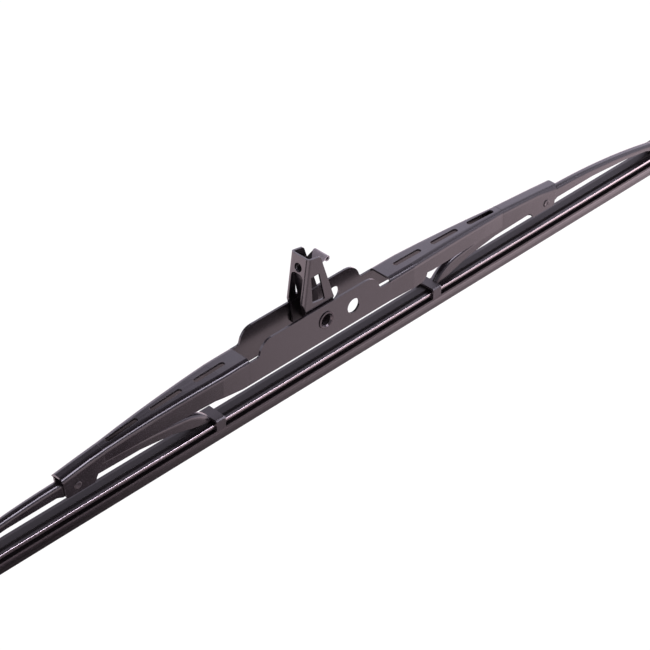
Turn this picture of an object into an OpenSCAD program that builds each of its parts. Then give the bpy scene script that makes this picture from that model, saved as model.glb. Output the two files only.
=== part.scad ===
// Framed wiper blade for a car windscreen.
// A stamped steel bridge with a central window carries a fold-down arm
// clip on a hollow rivet and, near each end, a rocking lever on a small
// rivet. The claws of the two levers hold the rubber element and its two
// steel rails.
// All sizes are in millimetres. The origin is the middle of the bridge's
// empty pin hole. X runs along the blade, Y across it, Z is up and the
// rubber lip points down.

/* [Bridge] */
// Outer width of the bridge at the central window
bridge_w = 12; // [11.4:0.1:13]
// Outer width of the bridge at its two ends
bridge_end_w = 6.4; // [6.2:0.1:7.4]
// Thickness of the bridge sheet
sheet_t = 0.9; // [0.8:0.05:1]
// Outside radius of the bend between top and walls
bend_r = 2.2; // [1.6:0.1:2.4]
// Half length of the central window, where the top is cut away
window_half = 38.2; // [37:0.2:42]
// Distance from the window's middle to the start of the taper
taper_start = 52; // [48:1:56]
// Distance from the window's middle to the end of the taper
taper_end = 108; // [100:1:108]
// Height of the left top edge at the window, above the pin hole
left_top_z = 3.3; // [2.4:0.1:4]
// Height of the right top edge at the window, above the pin hole
right_top_z = 2.1; // [1.6:0.1:4]
// Arch radius of the left half, seen from the side
left_arch_r = 616; // [560:4:760]
// Arch radius of the right half, seen from the side
right_arch_r = 1000; // [900:10:1200]
// Depth of the side walls below the arched top
wall_depth = 8.2; // [7.6:0.1:8.8]
// Lower edge of the walls in the middle, below the pin hole
mid_bottom = 8.3; // [7.6:0.1:9]
// Lower edge of the walls where their deep part ends on the right
right_deep = 9.2; // [8.6:0.1:9.6]
// Distance from the window's middle to that end of the deep part
right_deep_end = 59; // [54:0.5:62]
// Distance from the window's middle to the left end of the deep part
left_deep_end = 42; // [40:1:44]
// Lower edge of the left half's walls beyond the deep part
left_low = 6.4; // [6:0.1:7]

/* [Raised ears] */
// Height of the ears above the pin hole
ear_top = 8.3; // [7.6:0.1:9]
// Half length of the raised ears
ear_half = 33; // [31:0.2:35]
// Corner radius of the ears on the left
ear_left_r = 6; // [4:0.5:7]
// Corner radius of the ears on the right
ear_right_r = 8; // [6:0.5:9]
// Depth of the low notch between ear and top, below the top
notch_depth = 1.3; // [1:0.1:1.8]

/* [Pin holes] */
// Diameter of the empty pin hole through both walls
pin_d = 6.5; // [6.4:0.05:6.6]
// Distance between the empty pin hole and the clip's rivet
pin_spacing = 15; // [13.5:0.1:15.5]
// Height of the clip's rivet above the empty pin hole
rivet_rise = 1; // [0:0.1:1.4]
// Distance from the pin hole back to the window's middle
mid_offset = 17.2; // [16.8:0.1:17.6]

/* [Top slots] */
// Length of each slot in the top
slot_len = 15.5; // [12:0.5:17]
// Width of each slot in the top
slot_w = 2.3; // [1.8:0.1:2.6]
// Distance from the window's middle to the first slot's middle
slot_first = 53.6; // [52:0.2:55]
// Distance between neighbouring slots
slot_pitch = 21.7; // [19:0.1:22]

/* [End tabs and lever rivets] */
// Distance from the window's middle to the left lever rivet
left_rivet = 121.1; // [120:0.1:123]
// Distance from the window's middle to the right lever rivet
right_rivet = 135.5; // [134:0.1:138]
// Length of top beyond each lever rivet
end_over = 6.7; // [6:0.1:8]
// Height of the lever rivets below the pin hole
rivet_drop = 9.65; // [9:0.05:10]
// Lower edge of the end tabs, below the pin hole
tab_bottom = 12.9; // [12.4:0.1:13.4]
// Reach of each tab from its rivet towards the window
tab_in = 8.9; // [8:0.1:10]
// Reach of each tab from its rivet towards the end
tab_out = 6; // [5.4:0.1:6.6]
// Diameter of the lever rivets' shank
rivet_d = 2.4; // [2:0.1:2.6]
// Diameter of the lever rivets' heads
rivet_head_d = 3.5; // [3.2:0.1:4]
// Thickness of the lever rivets' heads
rivet_head_t = 0.35; // [0.25:0.05:0.5]

/* [Levers] */
// Reach from lever rivet to the middle of the inner claw
inner_arm = 68.5; // [66:0.1:71]
// Reach from lever rivet to the middle of the outer claw
outer_arm = 79.7; // [76:0.1:82]
// Outer width of each lever
lever_w = 4; // [3.6:0.1:4]
// Thickness of the lever sheet
lever_t = 0.9; // [0.7:0.05:1]
// Arch radius of the lever's top, seen from the side
lever_r = 345; // [325:5:375]
// Top of the lever above its rivet, below the pin hole
lever_top = 5.8; // [5.7:0.1:6]
// Radius of the curl down to the inner claw
inner_curl = 20; // [14:1:22]
// Radius of the curl down to the outer claw
outer_curl = 9; // [7:0.5:12]
// Depth of the inner arm's walls below its top
inner_wall = 4.6; // [4:0.1:5.2]
// Depth of the outer arm's walls below its top
outer_wall = 3.9; // [3.4:0.1:5]

/* [Claws] */
// Length of each claw along the blade
claw_len = 4.6; // [4:0.1:5.2]
// Outer width of the claws
claw_w = 9.7; // [9.5:0.1:10]
// Top of the claws, below the pin hole
claw_top = 17.3; // [17:0.1:17.4]
// Thickness of the claws' crossbars
claw_t = 0.9; // [0.8:0.05:1]
// Reach of each hooked tip under the head of the rubber
claw_hook = 2.5; // [2:0.1:2.7]

/* [Rubber and rails] */
// Length of the rubber element
rubber_len = 432; // [428:1:436]
// Top of the rubber, below the pin hole
rubber_top = 18.5; // [18.4:0.1:18.6]
// Total height of the rubber
rubber_h = 13.1; // [12.6:0.1:13.6]
// Width of the rubber's head between the rails
head_w = 3.1; // [2.9:0.1:3.3]
// Width of the rubber's foot, above the lip
foot_w = 6.4; // [6:0.1:7]
// Width of the wiping lip at its edge
lip_w = 0.8; // [0.6:0.1:1]
// Width of one rail
rail_w = 2.45; // [2.3:0.05:2.5]
// Thickness of a rail
rail_t = 1; // [0.8:0.05:1]
// Top of the rails, below the pin hole
rail_top = 19.4; // [19.3:0.1:19.5]
// Distance from a rubber end back to each rail end
rail_back = 1.5; // [1:0.5:3]

/* [Arm clip] */
// Thickness of the clip's sheet
clip_t = 0.9; // [0.7:0.05:0.9]
// Gap between each side of the clip and the bridge's wall
clip_gap = 0.15; // [0.1:0.05:0.3]
// Height of the clip above its rivet
clip_top = 31.4; // [30:0.1:33]
// Lower edge of the clip's wide part, above its rivet
clip_bottom = 8; // [7.8:0.1:8.6]
// Reach of the clip's back from its rivet, at the top
clip_back = 8.4; // [8:0.1:9]
// Reach of the clip's back from its rivet, lower down
clip_heel = 11.3; // [10.8:0.1:11.8]
// Reach of the clip's front from its rivet, at the top
clip_front = 1.7; // [1.2:0.1:2.2]
// Reach of the clip's front from its rivet, at the bottom
clip_toe = 5.2; // [4.8:0.1:5.6]
// Step inwards from the clip's sides to its two lugs
lug_step = 0.35; // [0.3:0.05:0.4]
// Diameter of the round hole in the clip's back
clip_hole_d = 3.8; // [3:0.1:4.2]

/* [Hollow rivet] */
// Outer diameter of the hollow rivet's tube
tube_d = 6.4; // [6.2:0.05:6.4]
// Bore of the hollow rivet
tube_bore = 4.9; // [4.8:0.05:5.1]
// Diameter of the flared rims
rim_d = 7.6; // [7.2:0.1:8]
// Thickness of the flared rims
rim_t = 0.4; // [0.3:0.05:0.5]

/* [Leaf spring] */
// Width of the leaf spring
spring_w = 7.1; // [6:0.1:7.2]
// Thickness of the leaf spring
spring_t = 0.5; // [0.4:0.05:0.6]

/* [View] */
// Sub-part to draw

/* [Hidden] */
$fn = 48;
long_fn = 360;
bend_fn = 32;
eps = 0.01;
big = 60;
run_gap = 0.05;
joint_step = 0.02;
ear_lap = 0.1;
paint_color = [0.13, 0.11, 0.12];
rubber_color = [0.1, 0.09, 0.09];
steel_color = [0.45, 0.42, 0.42];
mid_x = -mid_offset;
clip_x = -pin_spacing;
half_w = bridge_w / 2;
half_end = bridge_end_w / 2;
left_end = left_rivet + end_over;
right_end = right_rivet + end_over;
left_rivet_x = mid_x - left_rivet;
right_rivet_x = mid_x + right_rivet;
clip_w = bridge_w - 2 * sheet_t - 2 * clip_gap;
lug_w = clip_w - 2 * lug_step;
taper_angle = atan((half_w - half_end) / (taper_end - taper_start));
tube_fit_d = tube_d + 2 * run_gap;
rivet_fit_d = rivet_d + 2 * run_gap;

// SHARED SHAPES

// Extrude an outline drawn in the XZ plane between two Y planes.
module side(y0, y1)
    translate([0, y1, 0])
        rotate([90, 0, 0])
            linear_extrude(y1 - y0)
                children();

// Extrude an outline drawn in the YZ plane between two X planes.
module along(x0, x1)
    translate([x0, 0, 0])
        rotate([90, 0, 90])
            linear_extrude(x1 - x0)
                children();

// A round bar across the blade.
module cross_bar(d, half, x, z)
    translate([x, half, z])
        rotate([90, 0, 0])
            cylinder(d = d, h = 2 * half);

// Points of an arc, for outlines.
function arc(cx, cz, r, a0, a1, n = 6) =
    [for (i = [0:n]) [cx + r * cos(a0 + (a1 - a0) * i / n), cz + r * sin(a0 + (a1 - a0) * i / n)]];

// Height of an arched top at a distance x from the window's middle.
function top_at(x, top_z, radius) =
    top_z - radius + sqrt(radius * radius - (x - window_half) * (x - window_half));

// Section of a bent sheet: a block with one rounded corner.
module bend_section(radius, half, r) {
    translate([radius - 24, 0])
        square([24, half - r]);
    translate([radius - 24, 0])
        square([24 - r, half]);
    translate([radius - r, half - r])
        circle(r, $fn = bend_fn);
}

// One arched length of the bridge, near side only, as a solid block.
module arch_block(radius, half, r, top_z, inset)
    translate([window_half, 0, top_z - radius])
        rotate([90, 0, 0])
            rotate([0, 0, 79])
                rotate_extrude(angle = 12, $fn = long_fn)
                    bend_section(radius - inset, half - inset, r - inset);

// Near side of half a bridge, shrunk by inset on every side: full width,
// then the taper, then the narrow end. Each length is a hair slimmer or
// fuller than the next, so that no two faces almost meet.
module half_block(radius, top_z, len, inset) {
    start = window_half - 2 * inset;
    intersection() {
        arch_block(radius, half_w, bend_r, top_z, inset + joint_step);
        translate([start, -big, -big])
            cube([taper_start - start, big, 2 * big]);
    }
    intersection() {
        translate([taper_start, -half_w, 0])
            rotate([0, 0, taper_angle])
                translate([-taper_start, half_w, 0])
                    arch_block(radius, half_w, bend_r, top_z, inset + 2 * joint_step);
        translate([taper_start, -big, -big])
            cube([taper_end - taper_start, big, 2 * big]);
    }
    intersection() {
        arch_block(radius, half_end, bend_r, top_z, inset);
        translate([taper_end, -big, -big])
            cube([len - taper_end + 2 * inset, big, 2 * big]);
    }
}

// Lower edge of a wall that follows the arched top, between two distances.
function arched_edge(radius, top_z, x0, x1, n = 8) =
    [for (i = [0:n]) let (x = x0 + (x1 - x0) * i / n) [x, top_at(x, top_z, radius) - wall_depth]];

// Side outline of half a bridge: lower edge of the walls and the end tab.
module half_outline(low, rivet, len)
    polygon(concat(
        [[window_half - 1, big], [window_half - 1, -mid_bottom]],
        low,
        [[rivet - tab_in, -tab_bottom + 1.6]],
        arc(rivet - tab_in + 1.5, -tab_bottom + 1.5, 1.5, 190, 270, 4),
        arc(rivet + tab_out - 1.6, -tab_bottom + 1, 1, 270, 350, 4),
        [[rivet + tab_out, -tab_bottom + 7], [len, -tab_bottom + 8], [len + big, big]]
    ));

// The slots in the top, as cutters.
module slot_cutters()
    for (i = [0:2])
        translate([slot_first + i * slot_pitch, 0, -4]) {
            translate([-slot_len / 2 + slot_w / 2, -slot_w / 2, 0])
                cube([slot_len - slot_w, slot_w, 12]);
            for (s = [-1, 1])
                translate([s * (slot_len - slot_w) / 2, 0, 0])
                    cylinder(d = slot_w, h = 12);
        }

// Half a bridge drawn towards +X from the window's middle.
module bridge_half(radius, top_z, low, rivet, len)
    difference() {
        intersection() {
            union()
                for (s = [0, 1])
                    mirror([0, s, 0])
                        difference() {
                            half_block(radius, top_z, len, 0);
                            half_block(radius, top_z, len, sheet_t);
                        }
            side(-big, big)
                half_outline(low, rivet, len);
            translate([window_half, -big, -big])
                cube([len - window_half, 2 * big, 2 * big]);
        }
        slot_cutters();
        cross_bar(rivet_fit_d, big, rivet, -rivet_drop);
    }

// Outline of the walls beside the window, with the raised ears.
module ear_outline() {
    foot = 1.2;
    left_floor = left_top_z - notch_depth;
    right_floor = right_top_z - notch_depth;
    polygon(concat(
        [[-window_half - ear_lap, -mid_bottom], [window_half + ear_lap, -mid_bottom]],
        [[window_half + ear_lap, right_floor]],
        arc(ear_half, right_floor + foot, foot, 270, 180, 3),
        arc(ear_half - foot - ear_right_r, ear_top - ear_right_r, ear_right_r, 12, 90, 8),
        arc(-ear_half + ear_left_r, ear_top - ear_left_r, ear_left_r, 90, 180, 8),
        arc(-ear_half - foot, left_floor + foot, foot, 360, 270, 3),
        [[-window_half - ear_lap, left_floor]]
    ));
}

// BRIDGE

// Lower edges of the two halves' walls, from the window out to the tab.
right_edge = concat(
    [[right_deep_end - 4.5, -right_deep]],
    arc(right_deep_end - 3, -right_deep + 4, 4, 290, 350, 5),
    arched_edge(right_arch_r, right_top_z, right_deep_end + 4, right_rivet - tab_in - 2)
);
left_edge = [
    [left_deep_end, -mid_bottom],
    [left_deep_end + 14, -left_low],
    [left_rivet - tab_in - 3, -left_low]
];

module bridge()
    color(paint_color) {
        difference() {
            translate([mid_x, 0, 0]) {
                bridge_half(right_arch_r, right_top_z, right_edge, right_rivet, right_end);
                mirror([1, 0, 0])
                    bridge_half(left_arch_r, left_top_z, left_edge, left_rivet, left_end);
                side(-half_w, -half_w + sheet_t)
                    ear_outline();
                side(half_w - sheet_t, half_w)
                    ear_outline();
            }
            cross_bar(pin_d, big, 0, 0);
            cross_bar(tube_fit_d, big, clip_x, rivet_rise);
        }
    }

// LEVERS

// Section of the lever: a half round top on two walls, as a solid.
module lever_solid(radius, half, depth) {
    intersection() {
        translate([radius - half, 0])
            circle(half, $fn = bend_fn);
        translate([radius - half, -half])
            square([half, 2 * half]);
    }
    translate([radius - depth, -half])
        square([depth - half, 2 * half]);
}

// One arc of a lever about the middle of its curve, as a bent sheet. The
// curls are a hair fuller than the long arch, so that they close round it.
module lever_arc(cx, cz, radius, depth, a0, a1, grow = 0)
    translate([cx, 0, cz])
        rotate([90, 0, 0])
            rotate([0, 0, a0])
                rotate_extrude(angle = a1 - a0, $fn = long_fn)
                    difference() {
                        lever_solid(radius + grow, lever_w / 2 + grow, depth + grow);
                        lever_solid(radius - lever_t - grow, lever_w / 2 - lever_t - grow, depth);
                    }

// Angle at which the long arch meets a curl of radius r that ends at angle a.
function curl_start(arm, r, a) =
    asin((arm - claw_len / 2 + 0.6 - r * cos(a)) / (lever_r - r));

// Angle at which a curl ends on its claw, found in a few steps.
function curl_end(arm, r, a = 30, n = 5) =
    n == 0 ? a : curl_end(arm, r, asin(max(-0.5, min(0.8,
        (lever_top - claw_top - 0.4 + lever_r - (lever_r - r) * cos(curl_start(arm, r, a))) / r
    ))), n - 1);

// Height of the lever's top at a distance d from its rivet.
function lever_z(d) = -lever_top - d * d / (2 * lever_r);

// The lever's arch with the curl at each end.
module lever_arch() {
    cz = -lever_top - lever_r;
    inner_end = curl_end(inner_arm, inner_curl);
    outer_end = curl_end(outer_arm, outer_curl);
    inner_a = curl_start(inner_arm, inner_curl, inner_end);
    outer_a = curl_start(outer_arm, outer_curl, outer_end);
    lap = 0.35;
    lever_arc(0, cz, lever_r, 9, 90 - inner_a, 90 + outer_a);
    lever_arc((lever_r - inner_curl) * sin(inner_a), cz + (lever_r - inner_curl) * cos(inner_a),
        inner_curl, 8.5, inner_end, 90 - inner_a + lap / inner_curl * 57, 0.03);
    lever_arc(-(lever_r - outer_curl) * sin(outer_a), cz + (lever_r - outer_curl) * cos(outer_a),
        outer_curl, 8.5, 90 + outer_a - lap / outer_curl * 57, 180 - outer_end, 0.03);
}

// Side outline of a lever: only the lower edge matters.
module lever_outline() {
    lug = -tab_bottom + 0.5;
    foot = -claw_top - claw_t;
    polygon([
        [-outer_arm + 1, foot],
        [-outer_arm + 4, foot],
        [-outer_arm * 0.86, lever_z(outer_arm * 0.86) - outer_wall * 0.7],
        [-outer_arm * 0.7, lever_z(outer_arm * 0.7) - outer_wall * 0.75],
        [-outer_arm * 0.4, lever_z(outer_arm * 0.4) - outer_wall],
        [-tab_in, lever_z(tab_in) - outer_wall - 1.3],
        [-tab_out, lug],
        [tab_in - 0.9, lug],
        [tab_in + 1.6, lever_z(tab_in) - inner_wall - 0.8],
        [inner_arm * 0.45, lever_z(inner_arm * 0.45) - inner_wall],
        [inner_arm * 0.68, lever_z(inner_arm * 0.68) - inner_wall - 0.3],
        [inner_arm * 0.87, foot + 0.8],
        [inner_arm * 0.93, foot],
        [inner_arm, foot],
        [inner_arm, 0],
        [-outer_arm + 1, 0]
    ]);
}

// One claw: a crossbar whose ends bend down and hook under the head.
module claw(x) {
    half = claw_w / 2;
    hook_z = -rail_top - rail_t - 1;
    points = [
        [0, -claw_top],
        [half - 0.5, -claw_top],
        [half, -claw_top - 0.5],
        [half, hook_z - lever_t + 0.3],
        [half - 0.3, hook_z - lever_t],
        [half - claw_hook, hook_z - lever_t],
        [half - claw_hook, hook_z],
        [half - lever_t, hook_z],
        [half - lever_t, -claw_top - claw_t],
        [0, -claw_top - claw_t]
    ];
    for (s = [0, 1])
        mirror([0, s, 0])
            along(x - claw_len / 2, x + claw_len / 2)
                polygon(points);
}

// A lever with its rivet at x = 0 and its inner claw towards +X.
module lever()
    color(paint_color) {
        difference() {
            intersection() {
                lever_arch();
                side(-big, big)
                    lever_outline();
            }
            cross_bar(rivet_fit_d, big, 0, -rivet_drop);
        }
        claw(inner_arm);
        claw(-outer_arm);
    }

module lever_left()
    translate([left_rivet_x, 0, 0])
        lever();

module lever_right()
    translate([right_rivet_x, 0, 0])
        mirror([1, 0, 0])
            lever();

// LEVER RIVETS

module lever_rivet(x)
    color(paint_color) {
        cross_bar(rivet_d, half_end + eps, x, -rivet_drop);
        for (s = [-1, 1])
            translate([0, s * (half_end + rivet_head_t / 2), 0])
                cross_bar(rivet_head_d, rivet_head_t / 2, x, -rivet_drop);
    }

module lever_rivet_left()
    lever_rivet(left_rivet_x);

module lever_rivet_right()
    lever_rivet(right_rivet_x);

// RUBBER AND RAILS

// Left end of the rubber: the same overhang beyond both outer claws.
rubber_x0 = mid_x + (right_rivet - left_rivet - rubber_len) / 2;

module wiper_rubber() {
    head = head_w / 2;
    seat = head - 0.2;
    flange = 3;
    neck = 0.9;
    foot = foot_w / 2;
    rail_low = rail_top + rail_t;
    foot_top = rail_low + 3.4;
    color(rubber_color)
        for (s = [0, 1])
            mirror([0, s, 0])
                along(rubber_x0, rubber_x0 + rubber_len)
                    polygon([
                        [0, -rubber_top],
                        [head, -rubber_top],
                        [head, -rail_top],
                        [seat, -rail_top],
                        [seat, -rail_low],
                        [flange, -rail_low],
                        [flange, -rail_low - 0.8],
                        [neck, -rail_low - 0.8],
                        [neck, -foot_top],
                        [foot, -foot_top],
                        [foot, -foot_top - 1],
                        [lip_w / 2, -rubber_top - rubber_h],
                        [0, -rubber_top - rubber_h]
                    ]);
}

module rail(s) {
    inner = head_w / 2 - 0.2;
    color(steel_color)
        mirror([0, s, 0])
            along(rubber_x0 + rail_back, rubber_x0 + rubber_len - rail_back)
                translate([inner, -rail_top - rail_t])
                    square([rail_w, rail_t]);
}

module rail_near()
    rail(1);

module rail_far()
    rail(0);

// ARM CLIP

// Section of the clip: a bent U, open towards +X.
module clip_section(half, r) {
    translate([r, -half])
        square([30, 2 * half]);
    translate([0, -half + r])
        square([r + eps, 2 * half - 2 * r]);
    for (s = [-1, 1])
        translate([r, s * (half - r)])
            circle(r);
}

// The clip's wide upper part before its outline is cut.
module clip_channel() {
    half = clip_w / 2;
    r = 1.6;
    tilt = atan((clip_heel - clip_back) / (clip_top - 12));
    translate([-clip_back, 0, clip_top])
        rotate([0, tilt, 0])
            translate([0, 0, -30])
                linear_extrude(32)
                    difference() {
                        clip_section(half, r);
                        translate([clip_t, 0])
                            clip_section(half - clip_t, r - clip_t);
                    }
}

// Side outline of the clip's wide part.
module clip_outline()
    polygon(concat(
        [[-16, clip_top + 1], [-16, 13], [-clip_heel + 0.3, 11.5]],
        [[-clip_heel + 1.4, clip_bottom], [clip_toe, clip_bottom]],
        arc(-clip_front - 1.5, clip_top - 2.5, 1.5, 15, 82, 5),
        [[-clip_back, clip_top]]
    ));

// Trapezoid window cut through both flanges.
module clip_window() {
    low = clip_bottom + 1.6;
    high = clip_top - 8.6;
    polygon([
        [-clip_back + 2, low + 1],
        [clip_toe - 4.9, low],
        [-clip_front - 1, high],
        [-clip_back + 1.2, high]
    ]);
}

// Opening in the clip's back below the round hole, down to the lugs.
module back_opening() {
    half = clip_w / 2 - 1.8;
    high = clip_top - 8.6;
    polygon(concat(
        [[-half, -1], [half, -1]],
        arc(half - 2, high - 1, 2, 0, 90, 4),
        arc(-half + 2, high - 1, 2, 90, 180, 4)
    ));
}

// Outline of the two lugs round the hollow rivet.
module lug_outline()
    polygon(concat(
        [[clip_toe - 0.1, clip_bottom], [-clip_heel + 1.9, clip_bottom], [-8.4, 1]],
        arc(-3.6, 0, 5, 180, 270, 6),
        arc(1, -0.6, 4.4, 270, 360, 6)
    ));

// Step that joins a flange to its lug.
module lug_joint() {
    half = clip_w / 2;
    lug = lug_w / 2;
    polygon([
        [half, clip_bottom + 0.8],
        [half, clip_bottom],
        [lug, clip_bottom - 0.6],
        [lug - clip_t, clip_bottom - 0.6],
        [lug - clip_t, clip_bottom + 0.2],
        [half - clip_t, clip_bottom + 0.8]
    ]);
}

module arm_clip() {
    lug = lug_w / 2;
    color(paint_color)
        translate([clip_x, 0, rivet_rise]) {
            difference() {
                intersection() {
                    clip_channel();
                    side(-big, big)
                        clip_outline();
                }
                side(-big, big)
                    clip_window();
                along(-20, -clip_back + 2)
                    back_opening();
                translate([-14, 0, clip_top - 5.1])
                    rotate([0, 90, 0])
                        cylinder(d = clip_hole_d, h = 8);
            }
            for (s = [0, 1])
                mirror([0, s, 0]) {
                    along(-clip_heel + 1.9, clip_toe - 0.1)
                        lug_joint();
                    difference() {
                        side(lug - clip_t, lug)
                            lug_outline();
                        cross_bar(tube_fit_d, big, 0, 0);
                    }
                }
        }
}

// LEAF SPRING

// Band of constant thickness along a path, as an outline.
function normal_at(p, i) =
    let (a = p[max(i - 1, 0)], b = p[min(i + 1, len(p) - 1)], d = b - a)
    [-d[1], d[0]] / norm(d);
function band(p, t) = concat(
    [for (i = [0:len(p) - 1]) p[i] + normal_at(p, i) * t / 2],
    [for (i = [len(p) - 1:-1:0]) p[i] - normal_at(p, i) * t / 2]
);

module clip_spring() {
    loop = tube_d / 2 + 0.1;
    roll = 1.2;
    roll_x = 3;
    roll_z = clip_top - 5.2;
    half = spring_w / 2;
    color(paint_color)
        translate([clip_x, 0, rivet_rise]) {
            difference() {
                union() {
                    cross_bar(2 * (loop + spring_t), half, 0, 0);
                    side(-half, half)
                        polygon(band(concat(
                            [[-loop - spring_t / 2, 0.3], [-5.2, 8], [-7, 16]],
                            arc(-4.6, 20.6, 2.9, 185, 112, 5),
                            [[roll_x - 0.9, roll_z + 0.5]]
                        ), spring_t));
                    cross_bar(2 * roll, half, roll_x, roll_z);
                }
                cross_bar(2 * loop, half + 1, 0, 0);
                cross_bar(2 * (roll - spring_t), half + 1, roll_x, roll_z);
            }
        }
}

// HOLLOW RIVET

module clip_rivet() {
    flare = 0.6;
    color(steel_color)
        difference() {
            union() {
                cross_bar(tube_d, half_w + eps, clip_x, rivet_rise);
                for (s = [-1, 1])
                    translate([0, s * (half_w + rim_t / 2), 0])
                        cross_bar(rim_d, rim_t / 2, clip_x, rivet_rise);
            }
            cross_bar(tube_bore, half_w + 1, clip_x, rivet_rise);
            for (s = [0, 1])
                mirror([0, s, 0])
                    translate([clip_x, half_w + rim_t, rivet_rise])
                        rotate([90, 0, 0])
                            cylinder(d1 = tube_bore + 2 * flare, d2 = tube_bore, h = flare);
        }
}

// DRAWING

bridge();
lever_left();
lever_right();
lever_rivet_left();
lever_rivet_right();
wiper_rubber();
rail_near();
rail_far();
arm_clip();
clip_spring();
clip_rivet();
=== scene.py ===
import math
import bpy
from mathutils import Matrix, Vector


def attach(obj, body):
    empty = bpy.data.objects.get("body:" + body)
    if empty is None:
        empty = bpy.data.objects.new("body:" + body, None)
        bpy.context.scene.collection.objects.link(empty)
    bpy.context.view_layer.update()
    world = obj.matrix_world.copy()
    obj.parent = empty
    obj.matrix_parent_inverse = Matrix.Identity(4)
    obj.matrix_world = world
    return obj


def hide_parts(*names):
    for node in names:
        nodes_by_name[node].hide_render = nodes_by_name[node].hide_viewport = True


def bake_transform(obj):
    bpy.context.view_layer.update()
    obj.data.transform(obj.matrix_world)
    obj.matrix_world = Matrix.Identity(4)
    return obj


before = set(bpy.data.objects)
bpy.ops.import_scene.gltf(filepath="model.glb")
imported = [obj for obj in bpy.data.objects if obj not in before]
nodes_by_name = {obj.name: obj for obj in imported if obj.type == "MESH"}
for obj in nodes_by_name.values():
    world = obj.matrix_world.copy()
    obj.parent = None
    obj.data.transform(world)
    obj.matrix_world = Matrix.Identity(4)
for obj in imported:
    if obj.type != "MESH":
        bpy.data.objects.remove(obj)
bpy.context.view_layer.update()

scene = bpy.context.scene
MM = 0.001

# Places along the blade, in metres.
MID_X = -0.0172
LEFT_RIVET = (-0.1383, 0.0, -0.00965)
RIGHT_RIVET = (0.1183, 0.0, -0.00965)
INNER_ARM = 0.0685
LEFT_CLAW_X = LEFT_RIVET[0] + INNER_ARM
RIGHT_CLAW_X = RIGHT_RIVET[0] - INNER_ARM

# Sections of rubber and rails, in millimetres: half widths (Y) and heights (Z).
BLADE_START, BLADE_END = -226.0, 206.0
RAIL_INSET = 1.5
RAIL_Y, RAIL_TOP, RAIL_BOTTOM = 3.8, -19.4, -20.4
GROOVE_Y = 1.35
HEAD_Y, HEAD_TOP = 1.55, -18.5
FLANGE_Y, FLANGE_BOTTOM = 3.65, -21.2
NECK_Y, NECK_BOTTOM = 0.9, -23.8
SHOULDER_Y, SHOULDER_BOTTOM = 3.2, -24.8
LIP = [(1.75, -27.2), (0.95, -29.3), (0.6, -31.6)]
RUBBER_ROUND, RAIL_ROUND = 0.12, 0.2
STEPS = 110

# Where a second material lies on a piece, in metres.
CLAW_TOP_Z = -0.01725
# Below this the rubber's foot takes its painted light and shade.
FOOT_TOP_Z = -0.0239
# On the flange's outer faces the rubber takes its painted light.
FLANGE_Z, FLANGE_OUTER_Y = (-0.0213, -0.0204), 0.0030
RAIL_OUTER_Y = 0.0034
CLIP_FLANGE_Y = 0.0030
SPRING_ROLL = 0.0025

# A pressed rivet head: radius and height above the blade's middle plane.
RIVET_HEAD = [(0.15, 3.37), (0.55, 3.38), (0.85, 3.47), (1.10, 3.54), (1.35, 3.54),
              (1.58, 3.48), (1.71, 3.36), (1.74, 3.21), (1.2, 3.21), (1.2, 0.0)]

# Floor height, its paler and darker places in reflections, and the strengths of the lights.
FLOOR_Z, FLOOR_HALF = -0.28, 6
FLOOR_SHADOW = 0.1
DARK_SPOT, DARK_REACH = (0.0, -0.27), (0.03, 0.24)
FLOOR_GLOSS = 1.12
WALL, FRONT, LAMP, END = 2.0, 0.5, 12.0, 0.9
FILL_SIDE, FILL_AWAY, FILL_SIZE, FILL_POWER = (-0.8, -0.2, 0.6), 1.5, 0.8, 3.0

# Camera, fitted to the photograph's straight edges and holes: focal length in pixels,
# azimuth, elevation and roll in degrees, image shift in pixels, distance in millimetres.
F, AZ, EL, ROLL = 2400.0, -45.04, 36.83, 0.078
CX, CY, DIST = -13.671, -7.154, 925.8
FRAME_PX, SENSOR = 650.0, 36.0


# NODE HELPERS

def new_material(name):
    m = bpy.data.materials.new(name)
    m.use_nodes = True
    m.node_tree.nodes.clear()
    return m


def add(tree, kind, **values):
    n = tree.nodes.new(kind)
    for key, value in values.items():
        setattr(n, key, value)
    return n


def preset(node, **values):
    """Set sockets by name, with _ for a space."""
    for key, value in values.items():
        node.inputs[key.replace("_", " ")].default_value = value
    return node


def ramp(tree, source, stops):
    r = add(tree, "ShaderNodeValToRGB")
    elements = r.color_ramp.elements
    while len(elements) > 1:
        elements.remove(elements[-1])
    for k, (place, value) in enumerate(stops):
        e = elements.new(place) if k else elements[0]
        e.position = place
        e.color = (*value, 1) if isinstance(value, tuple) else (value, value, value, 1)
    tree.links.new(source, r.inputs[0])
    return r.outputs[0]


def noise(tree, coords, scale, detail, rough):
    n = preset(add(tree, "ShaderNodeTexNoise"), Scale=scale, Detail=detail, Roughness=rough)
    tree.links.new(coords, n.inputs["Vector"])
    return n.outputs["Fac"]


def calc(tree, op, *terms):
    """A sum on node outputs and plain numbers."""
    n = add(tree, "ShaderNodeMath", operation=op)
    for socket, term in zip(n.inputs, terms):
        if isinstance(term, (int, float)):
            socket.default_value = term
        else:
            tree.links.new(term, socket)
    return n.outputs[0]


def map_range(tree, value, start, end, low, high, kind="SMOOTHSTEP"):
    n = preset(add(tree, "ShaderNodeMapRange", interpolation_type=kind),
               From_Min=start, From_Max=end, To_Min=low, To_Max=high)
    tree.links.new(value, n.inputs["Value"])
    return n.outputs[0]


def fade(tree, value, start, end):
    """0 at start and beyond it, 1 at end, smooth between."""
    if end > start:
        return map_range(tree, value, start, end, 0.0, 1.0)
    return map_range(tree, value, end, start, 1.0, 0.0)


def mix(tree, share, first, other):
    n = add(tree, "ShaderNodeMixShader")
    for socket, source in zip(n.inputs, (share, first, other)):
        tree.links.new(source, socket)
    return n.outputs[0]


# MATERIALS

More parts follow.
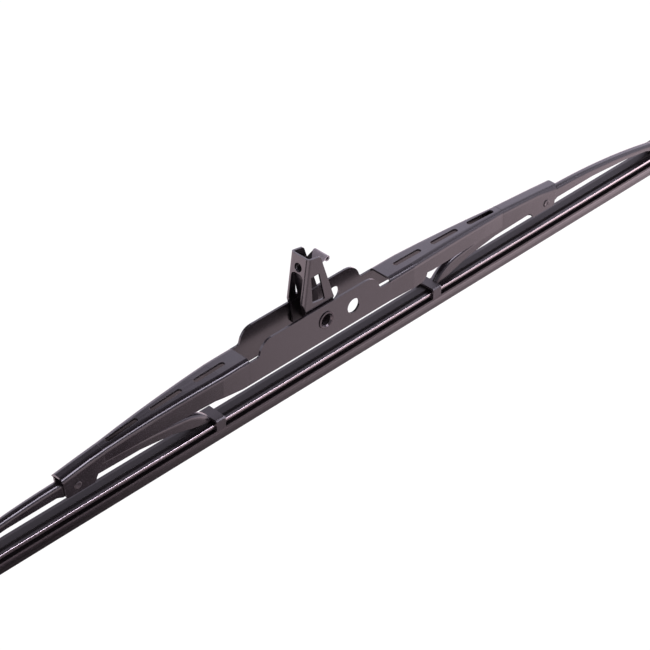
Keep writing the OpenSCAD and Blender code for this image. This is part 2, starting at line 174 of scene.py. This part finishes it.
def surface(name, dark, light, rough, depth, metallic=0.0, spec=0.5, edge=0.1,
            grain=1400.0, stretch=(1, 1, 1), fade_z=None):
    """A painted, moulded or rolled surface: colour, gloss and height all vary a little.

    edge and depth are millimetres: the softened edges' radius and the bump's height.
    fade_z is (low, high, least): painted shade, the colour falls to that share from high down to
    low.
    """
    m = new_material(name)
    t = m.node_tree
    out = add(t, "ShaderNodeOutputMaterial")
    b = preset(add(t, "ShaderNodeBsdfPrincipled"), Metallic=metallic, Specular_IOR_Level=spec)
    coord = add(t, "ShaderNodeTexCoord")
    place = preset(add(t, "ShaderNodeMapping"), Scale=stretch)
    t.links.new(coord.outputs["Object"], place.inputs["Vector"])
    broad = noise(t, place.outputs["Vector"], 120.0, 3.0, 0.5)
    fine = noise(t, place.outputs["Vector"], grain, 3.0, 0.6)
    colour = ramp(t, broad, [(0.3, dark), (0.7, light)])
    if fade_z:
        low, high, least = fade_z
        split = add(t, "ShaderNodeSeparateXYZ")
        t.links.new(coord.outputs["Object"], split.inputs[0])
        shade = add(t, "ShaderNodeVectorMath", operation="SCALE")
        t.links.new(colour, shade.inputs[0])
        t.links.new(map_range(t, split.outputs["Z"], low, high, least, 1.0, "LINEAR"),
                    shade.inputs["Scale"])
        colour = shade.outputs[0]
    t.links.new(colour, b.inputs["Base Color"])
    t.links.new(ramp(t, broad, [(0.25, rough[0]), (0.75, rough[1])]), b.inputs["Roughness"])
    bevel = preset(add(t, "ShaderNodeBevel", samples=4), Radius=edge * MM)
    bump = preset(add(t, "ShaderNodeBump"), Strength=1.0, Distance=depth * MM)
    t.links.new(fine, bump.inputs["Height"])
    t.links.new(bevel.outputs["Normal"], bump.inputs["Normal"])
    t.links.new(bump.outputs["Normal"], b.inputs["Normal"])
    t.links.new(b.outputs["BSDF"], out.inputs["Surface"])
    return m


painted = {"grain": 900.0, "edge": 0.12}
rolled = {"stretch": (0.05, 1, 1)}
moulded = {"stretch": (0.15, 1, 1)}
paint = surface("satin_black_paint", (0.011, 0.0085, 0.010), (0.014, 0.011, 0.013),
                (0.18, 0.25), 0.001, spec=0.8, **painted)
claw_paint = surface("rubbed_black_paint", (0.018, 0.014, 0.015), (0.028, 0.022, 0.024),
                     (0.28, 0.40), 0.002, spec=0.55, **painted)
spring_steel = surface("blued_spring_steel", (0.010, 0.008, 0.009), (0.016, 0.013, 0.014),
                       (0.30, 0.42), 0.002, spec=0.3, **painted)
spring_end = surface("rubbed_spring_end", (0.26, 0.235, 0.24), (0.34, 0.31, 0.315),
                     (0.38, 0.48), 0.002, metallic=0.3, **painted)
tube_steel = surface("rivet_steel", (0.05, 0.042, 0.044), (0.08, 0.07, 0.07),
                     (0.2, 0.3), 0.003, metallic=0.5)
rail_steel = surface("rolled_rail_steel", (0.015, 0.012, 0.013), (0.020, 0.016, 0.018),
                     (0.24, 0.32), 0.002, **rolled)
rail_edge = surface("bare_rail_edge", (0.50, 0.46, 0.46), (0.62, 0.58, 0.58),
                    (0.2, 0.3), 0.001, metallic=1.0, **rolled)
rubber = surface("black_rubber", (0.006, 0.0045, 0.0045), (0.009, 0.007, 0.007),
                 (0.38, 0.48), 0.003, spec=0.3, **moulded)
# The foot is a lighter copy of the black rubber: painted light, with painted shade darker towards
# the bottom.
rubber_foot = surface("foot_rubber_painted_light_and_shade", (0.040, 0.032, 0.032), (0.052, 0.041, 0.041),
                      (0.38, 0.46), 0.004, spec=0.4, fade_z=(-0.0292, -0.0247, 0.22), **moulded)
# The flange's outer faces are a lighter copy of the black rubber: painted light.
rubber_flange = surface("flange_rubber_painted_light", (0.036, 0.028, 0.029), (0.046, 0.036, 0.037),
                        (0.5, 0.6), 0.003, spec=0.2, **moulded)


# CAD NODES KEPT AS THEY ARE

def even_shading(o):
    """Flat faces keep their own normal, so only the bends shade round."""
    w = o.modifiers.new("even_shading", "WEIGHTED_NORMAL")
    w.mode, w.weight, w.keep_sharp = "FACE_AREA", 80, True


def smooth_faces(mesh, sharp_angle):
    mesh.polygons.foreach_set("use_smooth", [True] * len(mesh.polygons))
    mesh.set_sharp_from_angle(angle=math.radians(sharp_angle))


def dress(o, material):
    o.data.materials.clear()
    o.data.materials.append(material)
    o.material_slots[0].link = "OBJECT"
    o.material_slots[0].material = material
    smooth_faces(o.data, 28)
    even_shading(o)


def second(o, material, where):
    """Give the faces picked by centre and normal a second material."""
    o.data.materials.append(material)
    last = len(o.data.materials) - 1
    for f in o.data.polygons:
        if where(f.center, f.normal):
            f.material_index = last


def inside_of_flange(centre, normal):
    inward = normal.y * centre.y < 0 and abs(normal.y) > 0.9
    return inward and abs(centre.y) > CLIP_FLANGE_Y


for name in ("bridge", "lever_left", "lever_right", "arm_clip"):
    dress(nodes_by_name[name], paint)
for name in ("lever_left", "lever_right"):
    second(nodes_by_name[name], claw_paint, lambda centre, normal: centre.z < CLAW_TOP_Z)
second(nodes_by_name["arm_clip"], spring_steel, inside_of_flange)

clip_spring = nodes_by_name["clip_spring"]
dress(clip_spring, spring_steel)
roll_z = max(v.co.z for v in clip_spring.data.vertices) - SPRING_ROLL
second(clip_spring, spring_end, lambda centre, normal: centre.z > roll_z)
dress(nodes_by_name["clip_rivet"], tube_steel)


# RUBBER AND RAILS

def mesh_object(name, verts, faces, material, sharp_angle=30):
    me = bpy.data.meshes.new(name)
    me.from_pydata(verts, [], faces)
    me.validate()
    me.materials.append(material)
    me.update()
    smooth_faces(me, sharp_angle)
    o = bpy.data.objects.new(name, me)
    scene.collection.objects.link(o)
    even_shading(o)
    return o


def loft(name, section, x0, x1, material):
    """A closed section in the YZ plane carried along X, in millimetres."""
    n = len(section)
    verts, faces = [], []
    for i in range(STEPS + 1):
        x = x0 + (x1 - x0) * i / STEPS
        for y, z in section:
            verts.append((x * MM, y * MM, z * MM))
    for i in range(STEPS):
        for k in range(n):
            a, b = i * n + k, i * n + (k + 1) % n
            faces.append((a, a + n, b + n, b))
    faces.append(tuple(range(n)))
    faces.append(tuple(reversed(range(STEPS * n, STEPS * n + n))))
    return mesh_object(name, verts, faces, material)


def rounded(points, r, n):
    """The same outline with every corner rounded to radius r where it fits."""
    out = []
    count = len(points)
    for i in range(count):
        p0, p, p1 = Vector(points[i - 1]), Vector(points[i]), Vector(points[(i + 1) % count])
        a, b = (p0 - p), (p1 - p)
        cut = min(r, a.length * 0.45, b.length * 0.45)
        s, e = p + a.normalized() * cut, p + b.normalized() * cut
        for k in range(n + 1):
            t = k / n
            q = s * (1 - t) ** 2 + p * 2 * t * (1 - t) + e * t ** 2
            out.append((q.x, q.y))
    return out


def rubber_section():
    far = [(HEAD_Y, HEAD_TOP), (HEAD_Y, RAIL_TOP), (GROOVE_Y, RAIL_TOP), (GROOVE_Y, RAIL_BOTTOM),
           (FLANGE_Y, RAIL_BOTTOM), (FLANGE_Y, FLANGE_BOTTOM), (NECK_Y, FLANGE_BOTTOM),
           (NECK_Y, NECK_BOTTOM), (SHOULDER_Y, NECK_BOTTOM), (SHOULDER_Y, SHOULDER_BOTTOM)] + LIP
    near = [(-y, z) for y, z in reversed(far)]
    return rounded(far + near, RUBBER_ROUND, 2)


def rail_section(sign):
    """One rail's outline, run the same way round on both sides."""
    corners = [(sign * GROOVE_Y, RAIL_TOP), (sign * RAIL_Y, RAIL_TOP),
               (sign * RAIL_Y, RAIL_BOTTOM), (sign * GROOVE_Y, RAIL_BOTTOM)]
    return rounded(corners, RAIL_ROUND, 3)[::sign]


# Faces that take the foot's painted light and shade.
def on_foot(centre, normal):
    return centre.z < FOOT_TOP_Z


# Faces that take the flange's painted light.
def on_flange(centre, normal):
    return FLANGE_Z[0] < centre.z < FLANGE_Z[1] and abs(centre.y) > FLANGE_OUTER_Y


def on_rail_edge(centre, normal):
    return abs(normal.y) > 0.45 and abs(centre.y) > RAIL_OUTER_Y


def bend_with(piece, node):
    """The piece stands for the node, which it hides, and its place is baked into its mesh."""
    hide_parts(node)
    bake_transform(piece)


halves = {"left": (BLADE_START, MID_X * 1000, "lever_left", LEFT_CLAW_X),
          "right": (MID_X * 1000, BLADE_END, "lever_right", RIGHT_CLAW_X)}
for side, (start, end, lever, claw_x) in halves.items():
    o = loft("rubber_" + side, rubber_section(), start, end, rubber)
    # Painted light and shade on the foot, painted light on the flange.
    second(o, rubber_foot, on_foot)
    second(o, rubber_flange, on_flange)
    bend_with(o, "wiper_rubber")
    rail_start = max(start, BLADE_START + RAIL_INSET)
    rail_end = min(end, BLADE_END - RAIL_INSET)
    for name, sign in (("near", -1), ("far", 1)):
        o = loft("rail_%s_%s" % (name, side), rail_section(sign), rail_start, rail_end, rail_steel)
        second(o, rail_edge, on_rail_edge)
        bend_with(o, "rail_" + name)


# LEVER RIVETS

def lathe(name, profile, centre, sign, material, n=32):
    """A round shape turned about the Y axis, from points of radius and height in millimetres."""
    verts, faces = [], []
    rings = len(profile)
    for r, h in profile:
        for k in range(n):
            t = 2 * math.pi * k / n
            verts.append((centre[0] + r * MM * math.cos(t), centre[1] + sign * h * MM,
                          centre[2] + r * MM * math.sin(t)))
    for i in range(rings - 1):
        for k in range(n):
            a, b = i * n + k, i * n + (k + 1) % n
            faces.append((a, a + n, b + n, b) if sign < 0 else (a, b, b + n, a + n))
    first, last = tuple(range(n)), tuple(range((rings - 1) * n, rings * n))
    faces.append(first if sign < 0 else first[::-1])
    faces.append(last[::-1] if sign < 0 else last)
    return mesh_object(name, verts, faces, material, 50)


for side, place in (("left", LEFT_RIVET), ("right", RIGHT_RIVET)):
    for name, sign in (("near", -1), ("far", 1)):
        o = lathe("lever_rivet_%s_%s" % (side, name), RIVET_HEAD, place, sign, claw_paint)
        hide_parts("lever_rivet_" + side)
        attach(o, "bridge")


# FLOOR

def white_floor():
    """White to the camera, lit by the lamps for the rest, and a soft gradient in reflections."""
    m = new_material("white_floor")
    t = m.node_tree
    out = add(t, "ShaderNodeOutputMaterial")
    path = add(t, "ShaderNodeLightPath")
    flat = preset(add(t, "ShaderNodeBsdfDiffuse"), Color=(0.9, 0.9, 0.9, 1))
    glow = preset(add(t, "ShaderNodeEmission"), Color=(1, 1, 1, 1), Strength=1.08)
    place = add(t, "ShaderNodeNewGeometry").outputs["Position"]

    # The colour seen in reflections is nearly black in one spot in front.
    away = add(t, "ShaderNodeVectorMath", operation="DISTANCE")
    away.inputs[1].default_value = (*DARK_SPOT, FLOOR_Z)
    t.links.new(place, away.inputs[0])
    mirror = add(t, "ShaderNodeEmission")
    t.links.new(ramp(t, fade(t, away.outputs["Value"], *DARK_REACH),
                     [(0.0, (0.04, 0.03, 0.035)), (1.0, (1.0, 0.80, 0.88))]),
                mirror.inputs["Color"])

    # Its strength doubles far out to both ends, and under the blade it rises from left to right.
    split = add(t, "ShaderNodeSeparateXYZ")
    t.links.new(place, split.inputs[0])
    x, y = split.outputs["X"], split.outputs["Y"]
    rise = map_range(t, calc(t, "ABSOLUTE", calc(t, "SUBTRACT", x, 0.10)), 0.26, 0.46,
                     FLOOR_GLOSS, 2 * FLOOR_GLOSS)
    along = map_range(t, x, 0.0, 0.35, -1.0, 0.8, "LINEAR")
    under = fade(t, calc(t, "ABSOLUTE", calc(t, "SUBTRACT", y, 0.03)), 0.22, 0.11)
    tilt = calc(t, "MULTIPLY_ADD", along, under, 1.0)
    t.links.new(calc(t, "MULTIPLY", rise, tilt), mirror.inputs["Strength"])

    share = calc(t, "MULTIPLY", path.outputs["Is Camera Ray"], 1 - FLOOR_SHADOW)
    seen = mix(t, share, flat.outputs[0], glow.outputs[0])
    t.links.new(mix(t, path.outputs["Is Glossy Ray"], seen, mirror.outputs[0]),
                out.inputs["Surface"])
    return m


corners = [(x * FLOOR_HALF, y * FLOOR_HALF, FLOOR_Z)
           for x, y in ((-1, -1), (1, -1), (1, 1), (-1, 1))]
floor = mesh_object("floor", corners, [(0, 1, 2, 3)], white_floor())


# LIGHT

def studio_light(tree):
    """Strength by direction: a pale wall behind that darkens upwards, a soft front, a glow at
    the right end, and one long lamp in front that draws the thin lines along the bends."""
    coord = add(tree, "ShaderNodeTexCoord")
    split = add(tree, "ShaderNodeSeparateXYZ")
    tree.links.new(coord.outputs["Generated"], split.inputs[0])
    x, y, z = split.outputs

    def times(a, b):
        return calc(tree, "MULTIPLY", a, b)

    def plus(a, b):
        return calc(tree, "ADD", a, b)

    behind = fade(tree, y, -0.15, 0.15)
    wall = ramp(tree, z, [(0.0, 0.60), (0.44, 0.88), (0.57, 1.0), (0.62, 0.68), (0.66, 0.45),
                          (0.71, 0.15), (0.76, 0.06), (1.0, 0.10)])
    wall = times(times(wall, behind), WALL)
    front = times(calc(tree, "SUBTRACT", 1.0, behind), times(fade(tree, z, 0.75, 0.35), FRONT))
    off_line = calc(tree, "ABSOLUTE", plus(z, times(y, 0.943)))
    lamp = times(fade(tree, off_line, 0.22, 0.10), fade(tree, y, -0.25, -0.4))
    lamp = times(lamp, times(fade(tree, x, 0.63, 0.54), fade(tree, x, 0.10, 0.25)))
    end = times(fade(tree, x, 0.55, 0.72), times(fade(tree, y, 0.5, 0.2), END))
    return plus(plus(plus(wall, front), times(lamp, LAMP)), end)


world = bpy.data.worlds.new("studio")
scene.world = world
world.use_nodes = True
wt = world.node_tree
wt.nodes.clear()
lit = preset(add(wt, "ShaderNodeBackground"), Color=(0.90, 0.82, 1.0, 1))
wt.links.new(studio_light(wt), lit.inputs["Strength"])
backdrop = preset(add(wt, "ShaderNodeBackground"), Color=(1, 1, 1, 1))
path = add(wt, "ShaderNodeLightPath")
out = add(wt, "ShaderNodeOutputWorld")
wt.links.new(mix(wt, path.outputs["Is Camera Ray"], lit.outputs[0], backdrop.outputs[0]),
             out.inputs["Surface"])

fill_direction = Vector(FILL_SIDE).normalized()
fill = bpy.data.lights.new("left_fill", "AREA")
fill.shape = "RECTANGLE"
fill.size = fill.size_y = FILL_SIZE
fill.energy = FILL_POWER
o = bpy.data.objects.new("left_fill", fill)
o.location = fill_direction * FILL_AWAY
o.rotation_mode = "QUATERNION"
o.rotation_quaternion = fill_direction.to_track_quat("Z", "Y")
scene.collection.objects.link(o)


# CAMERA

azimuth, elevation, roll = math.radians(AZ), math.radians(EL), math.radians(ROLL)
back = Vector((math.sin(azimuth) * math.cos(elevation), -math.cos(azimuth) * math.cos(elevation),
               math.sin(elevation)))
level_right = Vector((math.cos(azimuth), math.sin(azimuth), 0))
level_up = back.cross(level_right)
right = level_right * math.cos(roll) + level_up * math.sin(roll)
up = level_up * math.cos(roll) - level_right * math.sin(roll)
eye = (back * DIST - right * (CX * DIST / F) + up * (CY * DIST / F)) * MM + Vector((MID_X, 0, 0))
lens = bpy.data.cameras.new("camera")
lens.sensor_width = SENSOR
lens.lens = SENSOR * F / FRAME_PX
lens.clip_start, lens.clip_end = 0.05, 20.0
camera = bpy.data.objects.new("camera", lens)
scene.collection.objects.link(camera)
camera.matrix_world = Matrix.Translation(eye) @ Matrix((right, up, back)).transposed().to_4x4()
scene.camera = camera

scene.view_settings.view_transform = "Standard"
